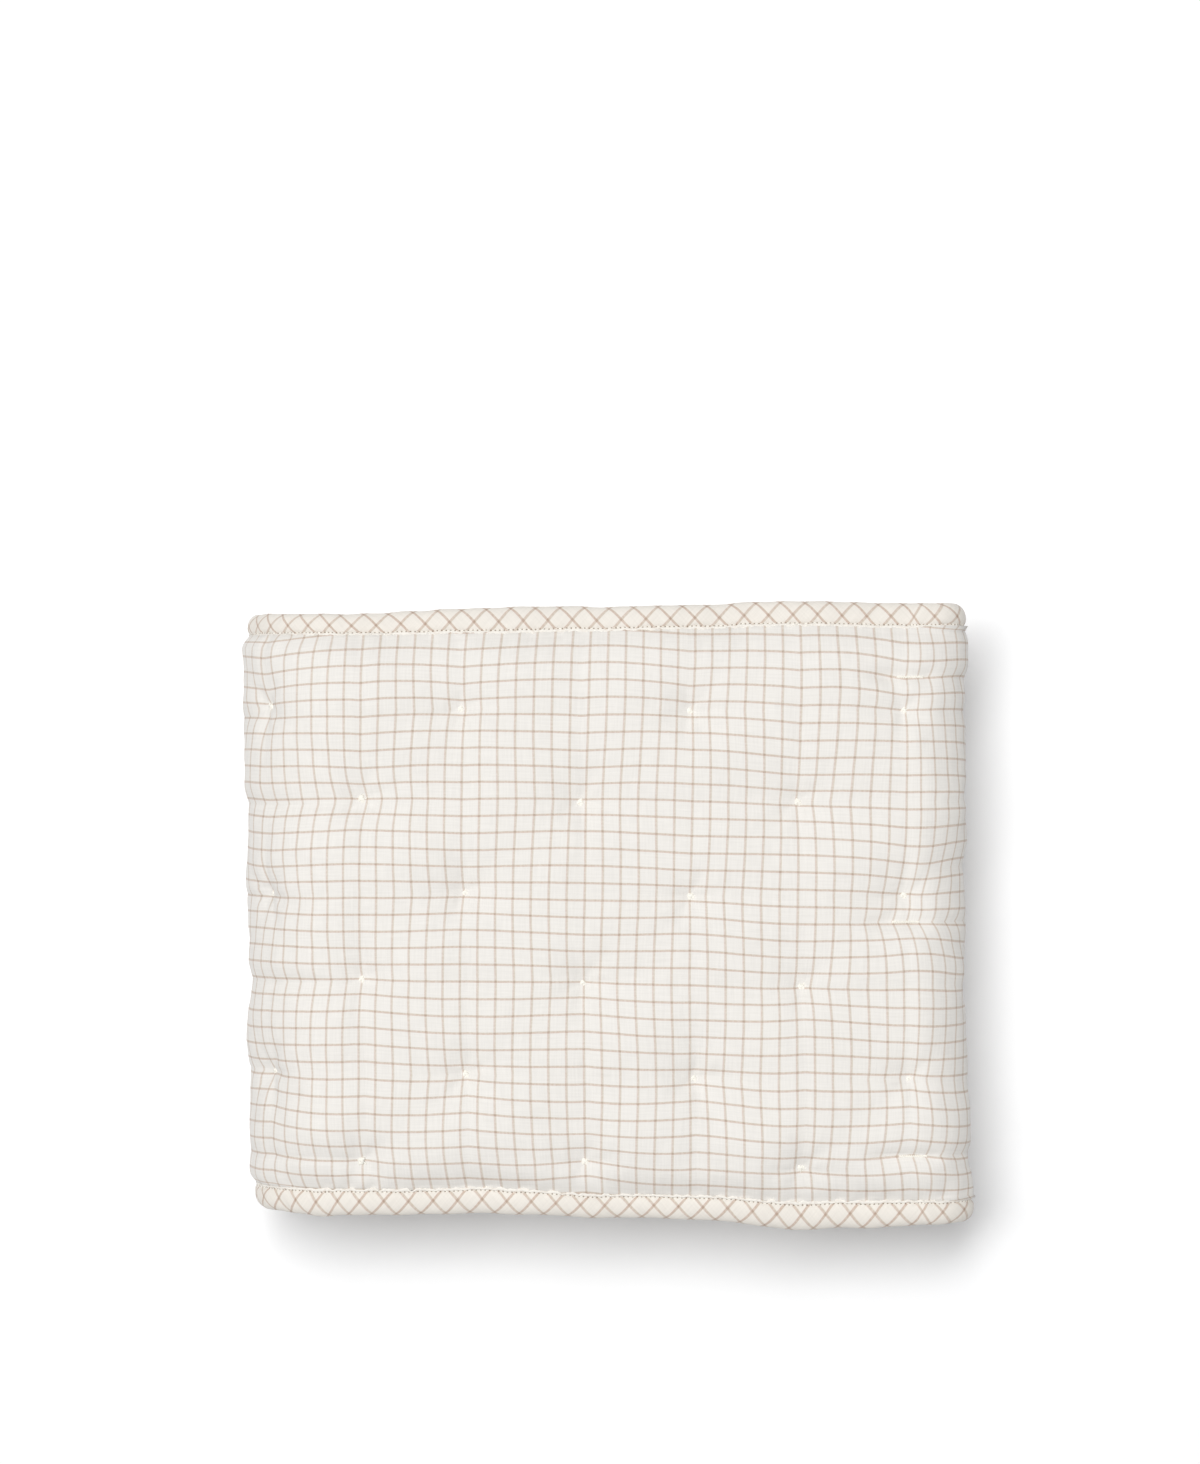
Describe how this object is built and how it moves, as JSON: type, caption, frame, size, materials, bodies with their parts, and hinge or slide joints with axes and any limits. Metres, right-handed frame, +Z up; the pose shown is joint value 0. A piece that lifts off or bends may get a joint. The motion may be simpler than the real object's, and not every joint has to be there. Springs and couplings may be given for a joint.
{
  "type": "crib bumper",
  "caption": "Folded crib bumper: a tufted, filled cotton quilt with bias-bound long edges, its ends turned in and then closed like a book, lying flat.",
  "frame": {"origin": "middle of the pack's box, on the surface that it lies on", "axes": "+X along the folded strip, from the wide wrap to the two tight folds; +Y across the strip, to the far binding; +Z up"},
  "size_m": [0.3594, 0.3068, 0.1001],
  "materials": {
    "check_cotton": "plain-woven cotton with a fine windowpane check, matt",
    "bias_cotton": "the same check cotton cut on the bias, matt"
  },
  "bodies": {
    "root": {"quilt": "check_cotton", "binding_far": "bias_cotton", "binding_near": "bias_cotton"}
  },
  "joints": []
}
